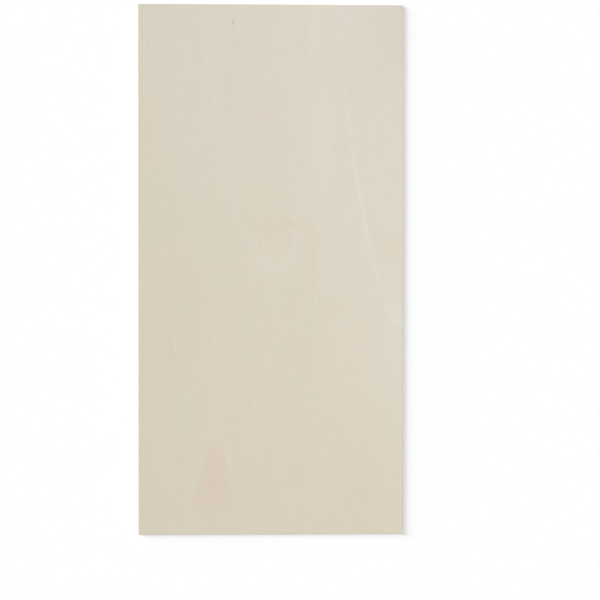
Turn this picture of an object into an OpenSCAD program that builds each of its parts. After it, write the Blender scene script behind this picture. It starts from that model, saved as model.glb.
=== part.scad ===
// Craft plywood sheet: thin cross-banded veneers pressed into one flat panel, sawn to size and sanded.
// It lies on its back face. X runs across the grain of the faces, Y along it and Z up through the plies.
// Lengths are in millimetres.

/* [Sheet] */
// Length along the grain of the faces
sheet_length = 610; // [150:1:1250]
// Width across the grain of the faces
sheet_width = 305; // [75:1:650]
// Thickness through all the plies
sheet_thickness = 3; // [1.5:0.1:12]

/* [Edges] */
// Radius that sanding leaves along the arrises of both faces
arris_radius = 0.25; // [0.1:0.05:0.6]
// Radius that sanding leaves on the four corners, seen from above
corner_radius = 0.8; // [0.7:0.1:5]

/* [Hidden] */
$fn = 64;
veneer_colour = "#dbd3c2";

// A rectangle with its corner on the origin and its four corners rounded
module eased_rectangle(size_x, size_y, radius) {
    translate([radius, 0]) square([size_x - 2 * radius, size_y]);
    translate([0, radius]) square([size_x, size_y - 2 * radius]);
    for (x = [radius, size_x - radius], y = [radius, size_y - radius])
        translate([x, y]) circle(radius);
}

// The panel between its corners, with eased arrises on its two ends
module panel_to_ends() {
    translate([corner_radius - sheet_width / 2, -sheet_length / 2, 0])
        rotate([90, 0, 90])
            linear_extrude(sheet_width - 2 * corner_radius)
                eased_rectangle(sheet_length, sheet_thickness, arris_radius);
}

// The panel between its corners, with eased arrises on its two sides
module panel_to_sides() {
    translate([-sheet_width / 2, sheet_length / 2 - corner_radius, 0])
        rotate([90, 0, 0])
            linear_extrude(sheet_length - 2 * corner_radius)
                eased_rectangle(sheet_width, sheet_thickness, arris_radius);
}

// One rounded corner, with its arrises eased like those of the edges it joins
module corner_post() {
    rotate_extrude()
        intersection() {
            translate([-corner_radius, 0])
                eased_rectangle(2 * corner_radius, sheet_thickness, arris_radius);
            square([corner_radius, sheet_thickness]);
        }
}

module plywood_sheet() {
    color(veneer_colour) {
        panel_to_ends();
        panel_to_sides();
        for (x = [-1, 1], y = [-1, 1])
            translate([x * (sheet_width / 2 - corner_radius), y * (sheet_length / 2 - corner_radius), 0])
                corner_post();
    }
}

plywood_sheet();
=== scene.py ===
"""A sheet of pale craft plywood, lying flat on a white floor and seen from straight above."""

import math

import bpy
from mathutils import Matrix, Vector


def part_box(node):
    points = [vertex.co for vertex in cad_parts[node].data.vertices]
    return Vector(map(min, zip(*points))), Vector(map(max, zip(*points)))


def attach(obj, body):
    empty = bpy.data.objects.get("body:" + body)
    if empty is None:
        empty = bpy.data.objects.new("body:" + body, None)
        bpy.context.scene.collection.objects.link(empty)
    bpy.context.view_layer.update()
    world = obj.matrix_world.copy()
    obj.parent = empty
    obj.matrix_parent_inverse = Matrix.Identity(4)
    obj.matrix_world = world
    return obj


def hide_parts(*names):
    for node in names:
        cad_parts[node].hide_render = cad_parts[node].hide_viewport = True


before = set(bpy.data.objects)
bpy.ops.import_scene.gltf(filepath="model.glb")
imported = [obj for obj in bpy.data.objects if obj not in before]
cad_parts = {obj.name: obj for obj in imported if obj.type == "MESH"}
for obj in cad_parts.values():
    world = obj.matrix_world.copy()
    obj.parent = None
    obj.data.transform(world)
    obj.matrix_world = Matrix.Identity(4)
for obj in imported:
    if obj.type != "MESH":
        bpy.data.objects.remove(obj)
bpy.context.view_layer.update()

MM = 0.001
SHEET_NODE = "plywood_sheet"

# The sheet's outline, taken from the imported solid
sheet_low, sheet_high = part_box(SHEET_NODE)
SHEET_WIDTH = sheet_high.x - sheet_low.x
SHEET_LENGTH = sheet_high.y - sheet_low.y
SHEET_THICKNESS = sheet_high.z - sheet_low.z

# What sanding and sawing leave on the edges
CORNER_RADIUS = 0.8 * MM
ARRIS_RADIUS = 0.25 * MM
FACE_PLY = 0.65 * MM
GLUE_GROOVE_HEIGHT = 0.16 * MM
GLUE_GROOVE_DEPTH = 0.03 * MM
CORE_RECESS = 0.02 * MM
ARRIS_WEAR_SHARE = 0.35
ARRIS_WEAR_LENGTH = 30 * MM
ARRIS_WEAR_SEED = 5.0

# Keeps the rounding of the corners from dividing by zero
SMALLEST_REACH = 0.001 * MM

# Cells of the sheet's lattice, counted from its middle out
HALF_CELLS_ACROSS = 38
HALF_CELLS_ALONG = 76
CORNER_CELLS = 3
HALF_CORE_CELLS = 4
HALF_GROOVE_CELLS = 1
FACE_PLY_CELLS = 2
ARRIS_CELLS = 4

# The slope, in degrees, at which a face of the sheet becomes an edge
HALF_RIGHT_ANGLE = 45

# Shares of the bake map that the faces and the edge strips take
MAP_MARGIN_SHARE = 0.01
FACE_MAP_WIDTH_SHARE = 0.455
FACE_MAP_LENGTH_SHARE = 0.91
STRIP_MAP_SHARE = 0.025

# Detail of noise: broken up finely, or in plain lumps
FINE_DETAIL = 2.0
PLAIN_DETAIL = 0.0


class Wire:
    """One output of a node. Arithmetic on it adds Math nodes to its board."""

    def __init__(self, board, socket):
        self.board = board
        self.socket = socket

    def __add__(self, other):
        return self.board.maths("ADD", self, other)

    def __radd__(self, other):
        return self.board.maths("ADD", other, self)

    def __sub__(self, other):
        return self.board.maths("SUBTRACT", self, other)

    def __rsub__(self, other):
        return self.board.maths("SUBTRACT", other, self)

    def __mul__(self, other):
        return self.board.maths("MULTIPLY", self, other)

    def __rmul__(self, other):
        return self.board.maths("MULTIPLY", other, self)

    def __truediv__(self, other):
        return self.board.maths("DIVIDE", self, other)

    def __rtruediv__(self, other):
        return self.board.maths("DIVIDE", other, self)

    def __neg__(self):
        return self.board.maths("MULTIPLY", self, -1.0)

    def __abs__(self):
        return self.board.maths("ABSOLUTE", self)


class Board:
    """A node tree that is being wired, for a shape or for a finish."""

    def __init__(self, tree):
        self.tree = tree
        self.tree.nodes.clear()

    def node(self, kind, settings=None, sockets=None):
        """Adds a node, sets it up, and then feeds its sockets with values or wires."""
        made = self.tree.nodes.new(kind)
        for name, value in (settings or {}).items():
            setattr(made, name, value)
        for name, value in (sockets or {}).items():
            if isinstance(value, Wire):
                self.tree.links.new(value.socket, made.inputs[name])
            else:
                made.inputs[name].default_value = value
        return made

    def wire(self, made, output=0):
        return Wire(self, made.outputs[output])

    def maths(self, operation, *values):
        return self.wire(self.node("ShaderNodeMath", {"operation": operation}, dict(enumerate(values))))

    def ranged(self, value, start, end, low=0.0, high=1.0, kind="LINEAR"):
        """Carries a value from one range to another and stops at its ends."""
        sockets = {"Value": value, "From Min": start, "From Max": end, "To Min": low, "To Max": high}
        return self.wire(self.node("ShaderNodeMapRange", {"interpolation_type": kind}, sockets))

    def smooth(self, value, start, end):
        return self.ranged(value, start, end, kind="SMOOTHSTEP")

    def split(self, vector):
        made = self.node("ShaderNodeSeparateXYZ", None, {"Vector": vector})
        return [self.wire(made, axis) for axis in "XYZ"]

    def joined(self, x, y, z):
        return self.wire(self.node("ShaderNodeCombineXYZ", None, {"X": x, "Y": y, "Z": z}))

    def positive(self, value):
        return self.maths("MAXIMUM", value, 0.0)

    def bell(self, distance, width):
        """1 on a line and falling off smoothly to both sides of it."""
        reach = distance / width
        return self.maths("EXPONENT", -(reach * reach))

    def grain(self, place, size, seed, detail=FINE_DETAIL):
        """Noise from -1 to 1 whose lumps have the given size along each axis."""
        shares = [1 / length for length in size]
        sockets = {0: place, 1: shares, 2: (seed, seed, seed)}
        scaled = self.wire(self.node("ShaderNodeVectorMath", {"operation": "MULTIPLY_ADD"}, sockets))
        noise = self.node("ShaderNodeTexNoise", None, {"Vector": scaled, "Scale": 1.0, "Detail": detail})
        return self.wire(noise, "Fac") * 2.0 - 1.0

    def blend(self, share, first, second):
        """Mixes two colours. A Mix node takes them at sockets 6 and 7 and gives their mix at 2."""
        made = self.node("ShaderNodeMix", {"data_type": "RGBA"}, {"Factor": share, 6: first, 7: second})
        return self.wire(made, 2)

    def shaded(self, colour, level):
        """Makes a colour lighter or darker."""
        made = self.node("ShaderNodeVectorMath", {"operation": "SCALE"}, {0: colour, "Scale": level})
        return self.wire(made)


def sheet_lattice(board):
    """A block of cells, one unit each, with a line for every step of the edges."""
    half_steps = (
        HALF_CELLS_ACROSS + CORNER_CELLS,
        HALF_CELLS_ALONG + CORNER_CELLS,
        HALF_CORE_CELLS + 2 * HALF_GROOVE_CELLS + FACE_PLY_CELLS + ARRIS_CELLS,
    )
    sockets = {"Size": [2.0 * steps for steps in half_steps]}
    for axis, steps in zip("XYZ", half_steps):
        sockets["Vertices " + axis] = 2 * steps + 1
    return board.wire(board.node("GeometryNodeMeshCube", None, sockets), "Mesh")


def seated(board, steps_out, bands):
    """Seats lattice lines, counted from the middle out, in bands of cells that each have a real size."""
    place = 0.0
    first = 0
    for cells, size in bands:
        place = place + board.ranged(steps_out, first, first + cells, 0.0, size)
        first += cells
    return place


def edge_inset(board, size, place):
    """How far the edge is set in: along the worn arrises, at the glue lines and over the core."""
    wear_sockets = {0: place, "Scale": 1.0 / size["Arris wear length"]}
    wear_place = board.node("ShaderNodeVectorMath", {"operation": "SCALE"}, wear_sockets)
    noise_sockets = {"Vector": board.wire(wear_place), "W": size["Arris wear seed"], "Scale": 1.0}
    noise = board.wire(board.node("ShaderNodeTexNoise", {"noise_dimensions": "4D"}, noise_sockets), "Fac")
    wear = 1.0 + size["Arris wear share"] * (noise * 2.0 - 1.0)

    height = abs(board.split(place)[2])
    radius = size["Arris radius"]
    into_arris = board.positive(height - (size["Thickness"] / 2.0 - radius))
    chord = board.positive(radius * radius - into_arris * into_arris)
    arris = (radius - board.maths("SQRT", chord)) * wear

    glue_line = size["Thickness"] / 2.0 - size["Face ply"]
    off_glue_line = abs(height - glue_line) / (size["Glue groove height"] / 2.0)
    groove = size["Glue groove depth"] * board.positive(1.0 - off_glue_line)
    core = size["Core recess"] * board.maths("LESS_THAN", height, glue_line)
    return arris + groove + core


def sheet_sides(board):
    """Which face, long edge or cut end of the sheet each face of the mesh belongs to."""
    normal = board.wire(board.node("GeometryNodeInputNormal"), "Normal")
    settings = {"data_type": "FLOAT_VECTOR", "domain": "FACE"}
    facing = board.split(board.wire(board.node("GeometryNodeFieldOnDomain", settings, {"Value": normal})))
    halfway = math.cos(math.radians(HALF_RIGHT_ANGLE))
    front = board.maths("GREATER_THAN", facing[2], halfway)
    back = board.maths("LESS_THAN", facing[2], -halfway)
    upright = 1.0 - front - back
    sideways = board.maths("GREATER_THAN", abs(facing[0]), abs(facing[1]))
    return {
        "front": front,
        "back": back,
        "long_edge": upright * sideways,
        "cut_end": upright * (1.0 - sideways),
        "right": board.maths("GREATER_THAN", facing[0], 0.0),
        "upper": board.maths("GREATER_THAN", facing[1], 0.0),
    }


def bake_place(board, size, side):
    """A place on the bake map: both faces side by side, and wide strips for the thin edges."""
    x, y, z = board.split(board.wire(board.node("GeometryNodeInputPosition")))
    face_u = (x / size["Width"] + 0.5) * FACE_MAP_WIDTH_SHARE
    face_v = (y / size["Length"] + 0.5) * FACE_MAP_LENGTH_SHARE
    strip = z / size["Thickness"] * STRIP_MAP_SHARE
    next_face = FACE_MAP_WIDTH_SHARE + MAP_MARGIN_SHARE
    next_strip = STRIP_MAP_SHARE + MAP_MARGIN_SHARE
    end_strips = FACE_MAP_LENGTH_SHARE + MAP_MARGIN_SHARE
    on_face = side["front"] * face_u + side["back"] * (next_face + face_u)
    on_edge = side["long_edge"] * (2 * next_face + side["right"] * next_strip + strip)
    on_end = side["cut_end"] * (side["upper"] * next_face + face_u)
    map_u = on_face + on_edge + on_end
    map_v = face_v + side["cut_end"] * (end_strips + strip - face_v)
    return board.joined(MAP_MARGIN_SHARE + map_u, MAP_MARGIN_SHARE + map_v, 0.0)


def sheet_tree(finishes):
    """The sheet as a lattice, with its corners, arrises and glue lines, its bake map and its finishes."""
    tree = bpy.data.node_groups.new("sanded_sheet_shape", "GeometryNodeTree")
    tree.interface.new_socket("Sheet", in_out="OUTPUT", socket_type="NodeSocketGeometry")
    values = {
        "Width": SHEET_WIDTH,
        "Length": SHEET_LENGTH,
        "Thickness": SHEET_THICKNESS,
        "Corner radius": CORNER_RADIUS,
        "Arris radius": ARRIS_RADIUS,
        "Face ply": FACE_PLY,
        "Glue groove height": GLUE_GROOVE_HEIGHT,
        "Glue groove depth": GLUE_GROOVE_DEPTH,
        "Core recess": CORE_RECESS,
        "Arris wear share": ARRIS_WEAR_SHARE,
        "Arris wear length": ARRIS_WEAR_LENGTH,
        "Arris wear seed": ARRIS_WEAR_SEED,
    }
    inputs = {}
    for name in values:
        inputs[name] = tree.interface.new_socket(name, in_out="INPUT", socket_type="NodeSocketFloat")
    board = Board(tree)
    given = board.node("NodeGroupInput")
    size = {name: board.wire(given, name) for name in values}

    # Where each line of the lattice lies, measured from the middle of the sheet
    steps = board.split(board.wire(board.node("GeometryNodeInputPosition")))
    signs = [board.maths("SIGN", step) for step in steps]
    inner_width = size["Width"] / 2.0 - size["Corner radius"]
    inner_length = size["Length"] / 2.0 - size["Corner radius"]
    half_groove = size["Glue groove height"] / 2.0
    half_core = size["Thickness"] / 2.0 - size["Face ply"] - half_groove
    flat_of_ply = size["Face ply"] - half_groove - size["Arris radius"]
    corner_band = (CORNER_CELLS, size["Corner radius"])
    core_band = (HALF_CORE_CELLS, half_core)
    groove_band = (HALF_GROOVE_CELLS, half_groove)
    ply_bands = [(FACE_PLY_CELLS, flat_of_ply), (ARRIS_CELLS, size["Arris radius"])]
    out_x = seated(board, abs(steps[0]), [(HALF_CELLS_ACROSS, inner_width), corner_band])
    out_y = seated(board, abs(steps[1]), [(HALF_CELLS_ALONG, inner_length), corner_band])
    out_z = seated(board, abs(steps[2]), [core_band, groove_band, groove_band, *ply_bands])
    inset = edge_inset(board, size, board.joined(out_x * signs[0], out_y * signs[1], out_z * signs[2]))

    # Corners are turned from square to round, and every line near the edge moves in with it
    band_x = board.positive(out_x - inner_width)
    band_y = board.positive(out_y - inner_length)
    band_reach = board.maths("SQRT", band_x * band_x + band_y * band_y)
    rounding = board.maths("MAXIMUM", band_x, band_y) / board.maths("MAXIMUM", band_reach, SMALLEST_REACH)
    band_scale = rounding * (1.0 - inset / size["Corner radius"])
    x = (out_x + band_x * (band_scale - 1.0)) * signs[0]
    y = (out_y + band_y * (band_scale - 1.0)) * signs[1]
    z = size["Thickness"] / 2.0 + out_z * signs[2]
    sockets = {"Geometry": sheet_lattice(board), "Position": board.joined(x, y, z)}
    shaped = board.wire(board.node("GeometryNodeSetPosition", None, sockets))
    eased = board.wire(board.node("GeometryNodeSetShadeSmooth", None, {"Geometry": shaped}))

    side = sheet_sides(board)
    settings = {"data_type": "FLOAT2", "domain": "CORNER"}
    sockets = {"Geometry": eased, "Name": "OFBake", "Value": bake_place(board, size, side)}
    mapped = board.wire(board.node("GeometryNodeStoreNamedAttribute", settings, sockets))
    whole = board.wire(board.node("GeometryNodeRealizeInstances", None, {"Geometry": mapped}))
    for name, finish in finishes.items():
        sockets = {"Geometry": whole, "Selection": side[name], "Material": finish}
        whole = board.wire(board.node("GeometryNodeSetMaterial", None, sockets))
    board.node("NodeGroupOutput", None, {"Sheet": whole})
    return tree, {inputs[name].identifier: value for name, value in values.items()}


def sanded_sheet(finishes):
    """The finished sheet as one plain mesh."""
    tree, values = sheet_tree(finishes)
    blank = bpy.data.objects.new("sheet_blank", bpy.data.meshes.new("sheet_blank"))
    bpy.context.scene.collection.objects.link(blank)
    modifier = blank.modifiers.new("shape", "NODES")
    modifier.node_group = tree
    for identifier, value in values.items():
        modifier[identifier] = value
    evaluated = blank.evaluated_get(bpy.context.evaluated_depsgraph_get())
    mesh = bpy.data.meshes.new_from_object(evaluated)
    bpy.data.objects.remove(blank)
    sheet = bpy.data.objects.new("sanded_sheet", mesh)
    bpy.context.scene.collection.objects.link(sheet)
    return sheet


# Colours of the wood, as linear light
CREAM_WOOD = (0.706, 0.636, 0.504, 1.0)
PALE_WOOD = (0.706, 0.663, 0.570, 1.0)
RING_WOOD = (0.720, 0.711, 0.644, 1.0)
ROSY_WOOD = (0.732, 0.571, 0.467, 1.0)
TAN_WOOD = (0.655, 0.582, 0.450, 1.0)
FLECK_WOOD = (0.360, 0.275, 0.195, 1.0)
END_GRAIN_WOOD = (0.520, 0.425, 0.295, 1.0)
GLUE_COLOUR = (0.400, 0.300, 0.185, 1.0)

# Finish of bare sanded wood
WOOD_ROUGHNESS = 0.78
WOOD_SPECULAR = 0.20
FIBRE_ROUGHNESS = 0.05
FIBRE_HEIGHT = 0.006 * MM
SAWN_ROUGHNESS = 0.88
SAW_MARK_HEIGHT = 0.03 * MM

# Starting points of the noise, one for each use
SEEDS = {
    "wander": 3.7,
    "waver": 11.3,
    "front blush": 17.9,
    "front veneer": 31.1,
    "broken rings": 51.1,
    "back blush": 57.3,
    "back veneer": 163.9,
    "back waver": 71.5,
    "sawn edge": 83.1,
}
SEED_STEP = 7.3

# Lumps of tone in a veneer: size across the grain, size along it, and how much they lighten or darken it
TONE_LUMPS = (
    (50 * MM, 110 * MM, 0.012),
    (18 * MM, 42 * MM, 0.010),
    (6 * MM, 13 * MM, 0.014),
    (1.6 * MM, 5.0 * MM, 0.030),
    (0.9 * MM, 5.5 * MM, 0.030),
    (0.3 * MM, 3.5 * MM, 0.020),
)
BLUSH_LUMPS = (
    (38 * MM, 80 * MM, 0.08),
    (11 * MM, 24 * MM, 0.07),
)

# Fibres and pores of a veneer: size across the grain and along it
FIBRE_SIZE = (0.9 * MM, 6 * MM)
HAIR_SIZE = (0.3 * MM, 3.5 * MM)
PORE_SIZE = (0.17 * MM, 2.2 * MM)
PORE_NOISE_RANGE = (0.22, 0.55)
PORE_BAND_SIZE = (4 * MM, 60 * MM)
PORE_BAND_SHARE = 0.25
PORE_DARKER_SHARE = 0.07
PORE_DEPTH_SHARE = 1.5
THROUGH_SHEET = 1000 * MM

# The front face is whiter to the top. Painted light makes it lighter to the right and towards the top, and
# painted shade makes it a little darker at its ends
TINT_MIDDLE_SHARE = 0.46
TINT_RIGHT_SHARE = 0.15
TINT_UP_SHARE = 0.36
PAINTED_LIGHT_RIGHT_SHARE = 0.029
PAINTED_LIGHT_UP_SHARE = 0.012
PAINTED_SHADE_ENDS_SHARE = 0.019

# The back face has one even tint
BACK_TINT_SHARE = 0.4

# How far the figure strays from its drawn lines: size across and along of the waves, and their height
WANDER_SIZE = (45 * MM, 120 * MM)
WANDER_HEIGHT = 4 * MM
WAVER_SIZE = (9 * MM, 30 * MM)
LINE_WAVER_HEIGHT = 3 * MM
PATCH_WAVER_HEIGHT = 6 * MM

# Pale growth rings. Each opens up (1) or down (-1) from its tip, and its two limbs show for a given reach.
# A bend moves it aside near one height, and its tip share makes it stronger or weaker at the tip
FRONT_RINGS = (
    {
        "tip": (8 * MM, -1.4 * MM),
        "opens": 1,
        "left_spread": 27 * MM,
        "right_spread": 14 * MM,
        "bend": -6 * MM,
        "bend_height": 63 * MM,
        "left_reach": 500 * MM,
        "right_reach": 90 * MM,
        "width": 3.5 * MM,
        "strength": 0.215,
        "tip_share": 0.25,
    },
    {
        "tip": (150 * MM, -62 * MM),
        "opens": 1,
        "left_spread": 15.4 * MM,
        "right_spread": 16 * MM,
        "bend": 3 * MM,
        "bend_height": 5 * MM,
        "left_reach": 450 * MM,
        "right_reach": 24 * MM,
        "width": 3.2 * MM,
        "strength": 0.40,
        "tip_share": -0.2,
    },
    {
        "tip": (-92 * MM, -44 * MM),
        "opens": -1,
        "left_spread": 45 * MM,
        "right_spread": 45 * MM,
        "bend": 0.0,
        "bend_height": 0.0,
        "left_reach": 8 * MM,
        "right_reach": 220 * MM,
        "width": 2.7 * MM,
        "strength": 0.08,
        "tip_share": 0.0,
    },
    {
        "tip": (220 * MM, -245 * MM),
        "opens": 1,
        "left_spread": 187 * MM,
        "right_spread": 187 * MM,
        "bend": 0.0,
        "bend_height": 0.0,
        "left_reach": 200 * MM,
        "right_reach": 60 * MM,
        "width": 2.7 * MM,
        "strength": 0.04,
        "tip_share": 0.0,
    },
)
BACK_RINGS = (
    {
        "tip": (-28 * MM, -150 * MM),
        "opens": 1,
        "left_spread": 11 * MM,
        "right_spread": 11 * MM,
        "bend": 3 * MM,
        "bend_height": 20 * MM,
        "left_reach": 520 * MM,
        "right_reach": 430 * MM,
        "width": 2.7 * MM,
        "strength": 0.20,
        "tip_share": 0.6,
    },
    {
        "tip": (-22 * MM, 40 * MM),
        "opens": 1,
        "left_spread": 7 * MM,
        "right_spread": 7 * MM,
        "bend": 2 * MM,
        "bend_height": 150 * MM,
        "left_reach": 330 * MM,
        "right_reach": 290 * MM,
        "width": 2.7 * MM,
        "strength": 0.16,
        "tip_share": 0.7,
    },
    {
        "tip": (-35 * MM, -275 * MM),
        "opens": 1,
        "left_spread": 22 * MM,
        "right_spread": 22 * MM,
        "bend": -3 * MM,
        "bend_height": -90 * MM,
        "left_reach": 400 * MM,
        "right_reach": 560 * MM,
        "width": 2.7 * MM,
        "strength": 0.14,
        "tip_share": 0.4,
    },
)
RING_TIP_LENGTH = 45 * MM
RING_BEND_LENGTH = 30 * MM
RING_FADE_SHARES = (0.25, 1.0)
RING_BREAK_SIZE = (9 * MM, 16 * MM)
RING_BREAK_SHARE = 0.5

# The pale arch near the lower end, which opens downwards, and the rosy heart inside it
ARCH = {
    "top": (-67 * MM, -188 * MM),
    "half_width": 20 * MM,
    "height": 28 * MM,
    "flare_share": 0.12,
    "lean_share": 0.02,
}
ARCH_LINE_WIDTH = 2.6 * MM
ARCH_STRENGTH = 0.20
HEART = {
    "top": (-63 * MM, -203 * MM),
    "half_width": 8 * MM,
    "height": 8 * MM,
    "flare_share": 0.24,
    "lean_share": -0.10,
}
HEART_SOFTNESS = 5 * MM
HEART_FADE = (-256 * MM, -290 * MM)
HEART_STRENGTH = 0.34

# Soft patches and flecks of the front face: middle, half size across and along, strength
PALE_PATCHES = (
    ((50 * MM, 284 * MM), (8 * MM, 32 * MM), 0.34),
    ((45 * MM, 206 * MM), (9 * MM, 36 * MM), 0.14),
    ((60 * MM, 146 * MM), (12 * MM, 55 * MM), 0.18),
    ((62 * MM, 200 * MM), (5 * MM, 40 * MM), 0.12),
    ((58 * MM, 180 * MM), (24 * MM, 130 * MM), 0.06),
    ((24 * MM, 100 * MM), (2.2 * MM, 34 * MM), 0.10),
    ((12 * MM, 275 * MM), (13 * MM, 40 * MM), 0.15),
    ((88 * MM, 290 * MM), (30 * MM, 45 * MM), 0.20),
    ((75 * MM, 45 * MM), (30 * MM, 95 * MM), 0.14),
    ((-90 * MM, 118 * MM), (32 * MM, 48 * MM), 0.10),
    ((92 * MM, -108 * MM), (36 * MM, 60 * MM), 0.17),
    ((-150 * MM, -270 * MM), (45 * MM, 75 * MM), 0.14),
    ((-30 * MM, -300 * MM), (90 * MM, 30 * MM), 0.08),
    ((-110 * MM, -165 * MM), (45 * MM, 45 * MM), 0.08),
    ((-90 * MM, 240 * MM), (35 * MM, 70 * MM), 0.06),
    ((143 * MM, -82 * MM), (16 * MM, 75 * MM), 0.24),
    ((130 * MM, 20 * MM), (26 * MM, 120 * MM), 0.05),
    ((144 * MM, -46 * MM), (11 * MM, 13 * MM), 0.26),
    ((90 * MM, 115 * MM), (6 * MM, 45 * MM), 0.06),
    ((5 * MM, 9 * MM), (12 * MM, 8 * MM), 0.12),
)
ROSY_PATCHES = (
    ((110 * MM, -232 * MM), (18 * MM, 28 * MM), 0.24),
    ((26 * MM, -236 * MM), (18 * MM, 26 * MM), 0.07),
    ((92 * MM, -108 * MM), (36 * MM, 60 * MM), 0.16),
    ((136 * MM, 25 * MM), (10 * MM, 28 * MM), 0.12),
    ((-115 * MM, -105 * MM), (9 * MM, 24 * MM), 0.10),
    ((-138 * MM, 160 * MM), (8 * MM, 36 * MM), 0.16),
    ((-137 * MM, -59 * MM), (8 * MM, 14 * MM), 0.10),
    ((45 * MM, -15 * MM), (16 * MM, 30 * MM), 0.08),
    ((-3 * MM, 50 * MM), (14 * MM, 6 * MM), 0.13),
    ((26 * MM, 53 * MM), (17 * MM, 6 * MM), 0.20),
    ((49 * MM, 36 * MM), (8 * MM, 14 * MM), 0.14),
    ((14 * MM, 32 * MM), (22 * MM, 20 * MM), 0.11),
    ((12 * MM, 174 * MM), (24 * MM, 56 * MM), 0.07),
    ((143 * MM, 278 * MM), (11 * MM, 36 * MM), 0.08),
)
# Painted shade: the upper right corner of the front face made darker without a change of hue
PAINTED_SHADE_PATCHES = (
    ((150 * MM, 300 * MM), (60 * MM, 90 * MM), 0.036),
)
TAN_PATCHES = (
    ((80 * MM, -290 * MM), (95 * MM, 85 * MM), 0.15),
    ((-120 * MM, -15 * MM), (60 * MM, 95 * MM), 0.15),
    ((20 * MM, -60 * MM), (30 * MM, 50 * MM), 0.12),
    ((136 * MM, 25 * MM), (10 * MM, 28 * MM), 0.16),
    ((12 * MM, 52 * MM), (26 * MM, 6 * MM), 0.10),
)
FLECKS = (
    ((-43.4 * MM, 284.5 * MM), (0.9 * MM, 4.2 * MM), 0.36),
    ((-43.6 * MM, 262 * MM), (0.8 * MM, 3.0 * MM), 0.10),
    ((72.4 * MM, 43.6 * MM), (0.8 * MM, 1.0 * MM), 0.20),
)

# Sawn edges. Sizes are along the edge, up through the plies, and from one edge to the other
EDGE_FIBRE_SIZE = (9 * MM, 0.12 * MM, 50 * MM)
EDGE_FIBRE_TINT_SHARE = 0.35
EDGE_FIBRE_TONE_SHARE = 0.10
EDGE_TINT_SHARE = 0.45
EDGE_PORE_SIZE = (0.14 * MM, 0.14 * MM, 50 * MM)
EDGE_PORE_TONE_SHARE = 0.22
EDGE_RING_SIZE = (25 * MM, 0.22 * MM, 50 * MM)
EDGE_RING_TINT_SHARE = 0.40
CHECK_SIZE = (0.12 * MM, 1.2 * MM, 50 * MM)
CHECK_NOISE_RANGE = (0.32, 0.60)
CHECK_DARKER_SHARE = 0.25
CHECK_LEAN_SHARE = 0.35
SAW_MARK_SIZE = (0.7 * MM, 6 * MM, 50 * MM)
SAW_MARK_TONE_SHARE = 0.05
PLY_JOINT_SOFTNESS = 0.03 * MM
GLUE_LINE_WIDTH = 0.055 * MM
GLUE_SHARE = 0.75
EDGE_RELIEF_SHARE = 0.4


def wood_shader(board, colour, roughness, height, height_scale):
    """Bare sanded wood, closed by the material's output."""
    bump = board.node("ShaderNodeBump", None, {"Strength": 1.0, "Distance": height_scale, "Height": height})
    sockets = {
        "Base Color": colour,
        "Roughness": roughness,
        "Specular IOR Level": WOOD_SPECULAR,
        "Normal": board.wire(bump),
    }
    shader = board.node("ShaderNodeBsdfPrincipled", None, sockets)
    board.node("ShaderNodeOutputMaterial", None, {"Surface": board.wire(shader)})


def new_finish(name):
    """An empty material and its board."""
    finish = bpy.data.materials.new(name)
    finish.use_nodes = True
    return finish, Board(finish.node_tree)


def place_on_sheet(board):
    """The point of the sheet that is coloured."""
    return board.wire(board.node("ShaderNodeTexCoord"), "Object")


def face_grain(board, place, size, seed, detail=FINE_DETAIL):
    """Noise on a face, with its size across the grain and along it."""
    return board.grain(place, (*size, THROUGH_SHEET), seed, detail)


def lumps(board, place, sizes, seed, detail=FINE_DETAIL):
    """Soft lumps of several sizes, each long along the grain."""
    total = 0.0
    for order, (across, along, share) in enumerate(sizes):
        total = total + face_grain(board, place, (across, along), seed + order * SEED_STEP, detail) * share
    return total


def ring_line(board, x, y, ring):
    """A growth ring cut by the face: a curve that swells or thins at its tip and fades along its limbs."""
    bend = board.bell(y - ring["bend_height"], RING_BEND_LENGTH) * ring["bend"]
    aside = x - ring["tip"][0] - bend
    past_tip = (y - ring["tip"][1]) * ring["opens"]
    left = board.maths("LESS_THAN", aside, 0.0)
    spread = ring["right_spread"] + left * (ring["left_spread"] - ring["right_spread"])
    reach = ring["right_reach"] + left * (ring["left_reach"] - ring["right_reach"])
    slope = aside * 2.0 / spread
    distance = (past_tip - aside * aside / spread) / board.maths("SQRT", 1.0 + slope * slope)
    fade = 1.0 - board.smooth(past_tip / reach, *RING_FADE_SHARES)
    swell = 1.0 + board.bell(past_tip, RING_TIP_LENGTH) * ring["tip_share"]
    return board.bell(distance / swell, ring["width"]) * fade * swell * ring["strength"]


def ring_lines(board, x, y, rings):
    """All the growth rings of a face."""
    total = 0.0
    for ring in rings:
        total = total + ring_line(board, x, y, ring)
    return total


def line_breaks(board, place):
    """How strongly the lines of a face show from place to place."""
    return 1.0 + face_grain(board, place, RING_BREAK_SIZE, SEEDS["broken rings"]) * RING_BREAK_SHARE


def arch_distance(board, x, y, arch):
    """Distance from an arch that opens downwards: a rounded top on limbs that spread."""
    below = arch["top"][1] - arch["height"] - y
    under = board.positive(below)
    over = board.maths("MINIMUM", below, 0.0) * (arch["half_width"] / arch["height"])
    aside = x - arch["top"][0] - under * arch["lean_share"]
    half_width = arch["half_width"] + under * arch["flare_share"]
    return board.maths("SQRT", aside * aside + over * over) - half_width


def patches(board, x, y, table):
    """Soft oval patches, each strongest in its middle."""
    total = 0.0
    for middle, half_size, strength in table:
        across = (x - middle[0]) / half_size[0]
        along = (y - middle[1]) / half_size[1]
        total = total + board.maths("EXPONENT", -(across * across + along * along)) * strength
    return total


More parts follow.
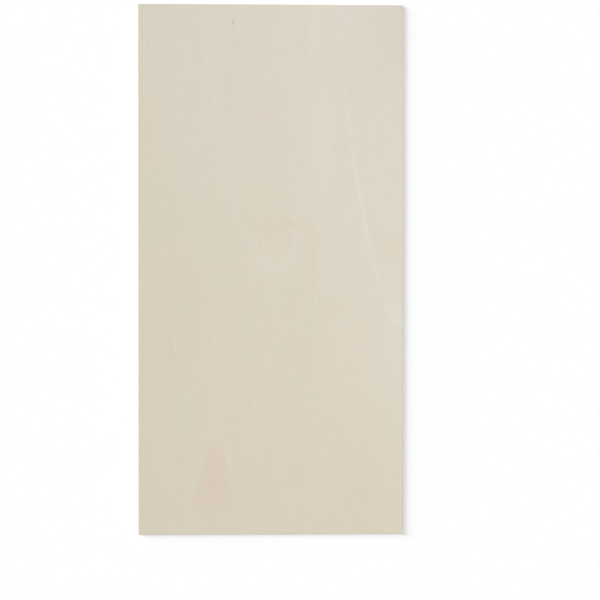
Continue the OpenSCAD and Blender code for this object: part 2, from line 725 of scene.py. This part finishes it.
def veneer_finish(board, place, wood, level, seed):
    """Sanded veneer: its lumps of tone, its fibres and its short fine pores."""
    fibres = face_grain(board, place, FIBRE_SIZE, seed)
    hairs = face_grain(board, place, HAIR_SIZE, seed + SEED_STEP)
    pore_bands = face_grain(board, place, PORE_BAND_SIZE, seed - 2 * SEED_STEP)
    pore_noise = face_grain(board, place, PORE_SIZE, seed - SEED_STEP, PLAIN_DETAIL)
    pores = board.smooth(pore_noise + pore_bands * PORE_BAND_SHARE, *PORE_NOISE_RANGE)
    tone = lumps(board, place, TONE_LUMPS, seed + 2 * SEED_STEP)
    # For the front face the level carries its painted light and shade
    colour = board.shaded(wood, level + tone - pores * PORE_DARKER_SHARE)
    relief = fibres + hairs - pores * PORE_DEPTH_SHARE
    wood_shader(board, colour, WOOD_ROUGHNESS + fibres * FIBRE_ROUGHNESS, relief, FIBRE_HEIGHT)


def front_veneer():
    """The face that shows: faint pale rings, an arch with a rosy heart, and fine fibres."""
    finish, board = new_finish("front_veneer")
    place = place_on_sheet(board)
    x, y, _ = board.split(place)
    wander = face_grain(board, place, WANDER_SIZE, SEEDS["wander"])
    waver = face_grain(board, place, WAVER_SIZE, SEEDS["waver"])
    line_x = x + waver * LINE_WAVER_HEIGHT
    patch_x = line_x + wander * WANDER_HEIGHT
    patch_y = y + waver * PATCH_WAVER_HEIGHT
    blush = lumps(board, place, BLUSH_LUMPS, SEEDS["front blush"], PLAIN_DETAIL)

    # Pale figure
    arch = board.bell(arch_distance(board, line_x, y, ARCH), ARCH_LINE_WIDTH) * ARCH_STRENGTH
    lines = ring_lines(board, line_x, y, FRONT_RINGS) + arch
    pale_patches = patches(board, patch_x, patch_y, PALE_PATCHES)
    pale = lines * line_breaks(board, place) + pale_patches + board.positive(-blush)

    # Rosy figure
    in_heart = board.smooth(arch_distance(board, line_x, y, HEART), HEART_SOFTNESS, -HEART_SOFTNESS)
    heart = in_heart * board.smooth(y, HEART_FADE[1], HEART_FADE[0]) * HEART_STRENGTH
    rosy = patches(board, patch_x, patch_y, ROSY_PATCHES) + heart + board.positive(blush)

    right = x / (SHEET_WIDTH / 2)
    up = y / (SHEET_LENGTH / 2)
    tint = TINT_MIDDLE_SHARE + right * TINT_RIGHT_SHARE + up * TINT_UP_SHARE
    ground = board.blend(tint, CREAM_WOOD, PALE_WOOD)
    tanned = board.blend(patches(board, patch_x, patch_y, TAN_PATCHES), ground, TAN_WOOD)
    ringed = board.blend(pale, tanned, RING_WOOD)
    blushed = board.blend(rosy, ringed, ROSY_WOOD)
    flecked = board.blend(patches(board, x, y, FLECKS), blushed, FLECK_WOOD)
    # Painted light and shade: the face is brighter to the right and upwards, darker at its ends and in the
    # upper right corner
    painted_shade = up * up * PAINTED_SHADE_ENDS_SHARE + patches(board, patch_x, patch_y, PAINTED_SHADE_PATCHES)
    level = 1.0 + right * PAINTED_LIGHT_RIGHT_SHARE + up * PAINTED_LIGHT_UP_SHARE - painted_shade
    veneer_finish(board, place, flecked, level, SEEDS["front veneer"])
    return finish


def back_veneer():
    """The hidden face: the same wood with nested rings that open towards the upper end."""
    finish, board = new_finish("back_veneer")
    place = place_on_sheet(board)
    x, y, _ = board.split(place)
    waver = face_grain(board, place, WAVER_SIZE, SEEDS["back waver"])
    blush = lumps(board, place, BLUSH_LUMPS, SEEDS["back blush"], PLAIN_DETAIL)
    lines = ring_lines(board, x + waver * LINE_WAVER_HEIGHT, y, BACK_RINGS)
    pale = lines * line_breaks(board, place) + board.positive(-blush)
    ground = board.blend(BACK_TINT_SHARE, CREAM_WOOD, PALE_WOOD)
    ringed = board.blend(pale, ground, RING_WOOD)
    blushed = board.blend(board.positive(blush), ringed, ROSY_WOOD)
    veneer_finish(board, place, blushed, 1.0, SEEDS["back veneer"])
    return finish


def sawn_edge(name, runs_along, core_shows_end_grain):
    """A sawn edge: two face plies, the core across them and the glue lines between."""
    finish, board = new_finish(name)
    x, y, z = board.split(place_on_sheet(board))
    run, other = (y, x) if runs_along == "Y" else (x, y)
    place = board.joined(run, z, other)
    leaning_place = board.joined(run + z * CHECK_LEAN_SHARE, z, other)
    seed = SEEDS["sawn edge"]
    fibres = board.grain(place, EDGE_FIBRE_SIZE, seed)
    pores = board.grain(place, EDGE_PORE_SIZE, seed + SEED_STEP)
    rings = board.grain(place, EDGE_RING_SIZE, seed + 2 * SEED_STEP)
    saw_marks = board.grain(place, SAW_MARK_SIZE, seed + 3 * SEED_STEP)
    check_noise = board.grain(leaning_place, CHECK_SIZE, seed + 4 * SEED_STEP, PLAIN_DETAIL)
    checks = board.smooth(check_noise, *CHECK_NOISE_RANGE)

    from_middle = abs(z - SHEET_THICKNESS / 2)
    off_glue_line = from_middle - (SHEET_THICKNESS / 2 - FACE_PLY)
    in_core = board.smooth(off_glue_line, PLY_JOINT_SOFTNESS, -PLY_JOINT_SOFTNESS)
    across_grain = in_core if core_shows_end_grain else 1.0 - in_core

    # Plies whose grain runs along the edge, and plies that are cut across it
    long_tint = EDGE_TINT_SHARE + fibres * EDGE_FIBRE_TINT_SHARE
    long_tone = 1.0 + fibres * EDGE_FIBRE_TONE_SHARE
    long_grain = board.shaded(board.blend(long_tint, CREAM_WOOD, PALE_WOOD), long_tone)
    end_tint = EDGE_TINT_SHARE + rings * EDGE_RING_TINT_SHARE
    end_tone = 1.0 + pores * EDGE_PORE_TONE_SHARE - checks * CHECK_DARKER_SHARE
    end_grain = board.shaded(board.blend(end_tint, END_GRAIN_WOOD, CREAM_WOOD), end_tone)
    wood = board.blend(across_grain, long_grain, end_grain)
    glued = board.blend(board.bell(off_glue_line, GLUE_LINE_WIDTH) * GLUE_SHARE, wood, GLUE_COLOUR)
    sawn = board.shaded(glued, 1.0 + saw_marks * SAW_MARK_TONE_SHARE)
    ply_relief = fibres + across_grain * (pores - checks - fibres)
    relief = saw_marks + ply_relief * EDGE_RELIEF_SHARE
    wood_shader(board, sawn, SAWN_ROUGHNESS + pores * FIBRE_ROUGHNESS, relief, SAW_MARK_HEIGHT)
    return finish


# The studio: a white floor, soft light from the upper left and a camera above. Angles are in degrees,
# and the lens and its sensor are in the millimetres that a camera takes
FLOOR_SIZE = 8000 * MM
FLOOR_GAP = 0.02 * MM
WHITE = (1.0, 1.0, 1.0, 1.0)
FLOOR_BOUNCE = (0.80, 0.80, 0.80, 1.0)
AMBIENT = 0.205
KEY_FROM = (-1.0, 0.5, 0.395)
KEY_LIGHT = 2.70
KEY_ANGLE = 40
OVERHEAD_FROM = (0.0, 0.0, 1.0)
OVERHEAD_LIGHT = 1.60
OVERHEAD_ANGLE = 60
CAMERA_PLACE = (-5 * MM, -22.6 * MM, 1500.4 * MM)
CAMERA_TURN = (-0.468, -1.470, 0.017)
CAMERA_LENS = 77.99
SENSOR_WIDTH = 36.0


def seen_or_unseen(board, unseen, seen):
    """One shader for rays that show the studio, straight on or mirrored, and one for all other rays."""
    path = board.node("ShaderNodeLightPath")
    straight = board.wire(path, "Is Camera Ray")
    mirrored = board.wire(path, "Is Glossy Ray")
    through = board.wire(path, "Is Transmission Ray")
    shows = board.maths("MAXIMUM", straight, board.maths("MAXIMUM", mirrored, through))
    sockets = {"Fac": shows, 1: board.wire(unseen), 2: board.wire(seen)}
    return board.wire(board.node("ShaderNodeMixShader", None, sockets))


def studio_floor():
    """The white floor that the sheet lies on."""
    half = FLOOR_SIZE / 2
    level = -FLOOR_GAP
    corners = [(-half, -half, level), (half, -half, level), (half, half, level), (-half, half, level)]
    mesh = bpy.data.meshes.new("studio_floor")
    mesh.from_pydata(corners, [], [(0, 1, 2, 3)])
    floor = bpy.data.objects.new("studio_floor", mesh)
    bpy.context.scene.collection.objects.link(floor)
    finish, board = new_finish("floor_white")
    unseen = board.node("ShaderNodeBsdfDiffuse", None, {"Color": FLOOR_BOUNCE})
    seen = board.node("ShaderNodeBsdfDiffuse", None, {"Color": WHITE})
    board.node("ShaderNodeOutputMaterial", None, {"Surface": seen_or_unseen(board, unseen, seen)})
    mesh.materials.append(finish)


def studio_world():
    """Even white light from all round."""
    world = bpy.data.worlds.new("studio_world")
    bpy.context.scene.world = world
    world.use_nodes = True
    board = Board(world.node_tree)
    unseen = board.node("ShaderNodeBackground", None, {"Strength": AMBIENT, "Color": WHITE})
    seen = board.node("ShaderNodeBackground", None, {"Strength": 1.0, "Color": WHITE})
    board.node("ShaderNodeOutputWorld", None, {"Surface": seen_or_unseen(board, unseen, seen)})


def soft_lamp(name, from_side, strength, angle):
    """A wide soft lamp far off on one side."""
    lamp = bpy.data.lights.new(name, "SUN")
    lamp.energy = strength
    lamp.angle = math.radians(angle)
    holder = bpy.data.objects.new(name, lamp)
    holder.rotation_euler = Vector(from_side).to_track_quat("Z", "Y").to_euler()
    bpy.context.scene.collection.objects.link(holder)


def overhead_camera():
    """The camera above the sheet, turned as in the photograph."""
    camera = bpy.data.cameras.new("overhead_camera")
    camera.sensor_width = SENSOR_WIDTH
    camera.lens = CAMERA_LENS
    holder = bpy.data.objects.new("overhead_camera", camera)
    holder.location = CAMERA_PLACE
    holder.rotation_euler = [math.radians(turn) for turn in CAMERA_TURN]
    bpy.context.scene.collection.objects.link(holder)
    bpy.context.scene.camera = holder


finishes = {
    "front": front_veneer(),
    "back": back_veneer(),
    "long_edge": sawn_edge("long_edge", "Y", True),
    "cut_end": sawn_edge("cut_end", "X", False),
}
sheet = sanded_sheet(finishes)
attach(sheet, "root")
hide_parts(SHEET_NODE)

studio_floor()
studio_world()
soft_lamp("key_lamp", KEY_FROM, KEY_LIGHT, KEY_ANGLE)
soft_lamp("overhead_lamp", OVERHEAD_FROM, OVERHEAD_LIGHT, OVERHEAD_ANGLE)
overhead_camera()
bpy.context.scene.view_settings.view_transform = "Standard"
